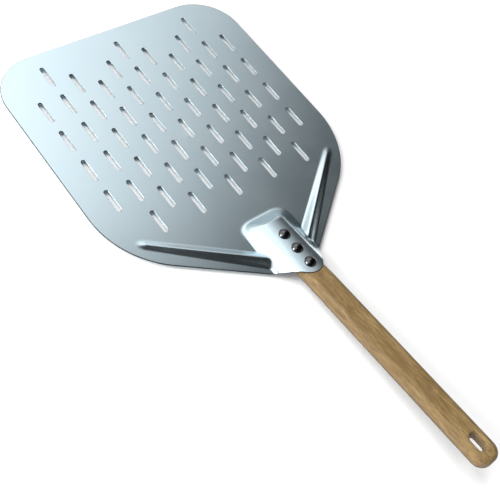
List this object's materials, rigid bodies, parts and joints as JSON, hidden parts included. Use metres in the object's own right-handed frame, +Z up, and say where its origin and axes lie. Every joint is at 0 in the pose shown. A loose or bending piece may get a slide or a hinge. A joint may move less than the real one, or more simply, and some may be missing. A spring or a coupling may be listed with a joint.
{
  "type": "pizza peel",
  "caption": "Perforated pizza peel: a thin slotted aluminium blade with pressed ribs and a boss, riveted over a flat wooden handle with a hanging slot.",
  "frame": {"origin": "on the blade's underside, at the middle of the slot field on the centre line", "axes": "+Z up out of the blade's top face, +Y along the centre line towards the front edge, +X to the right; the handle runs towards -Y and rises"},
  "size_m": [0.305, 0.6177, 0.044],
  "materials": {
    "blade_aluminium": "satin anodised",
    "handle_wood": "lightly oiled, fine grain",
    "rivet_steel": "polished, domed heads",
    "washer_steel": "plain"
  },
  "bodies": {
    "root": {"blade": "blade_aluminium", "handle": "handle_wood", "rivet_front": "rivet_steel", "rivet_middle": "rivet_steel", "rivet_rear": "rivet_steel", "washer_front": "washer_steel", "washer_middle": "washer_steel", "washer_rear": "washer_steel"}
  },
  "joints": []
}
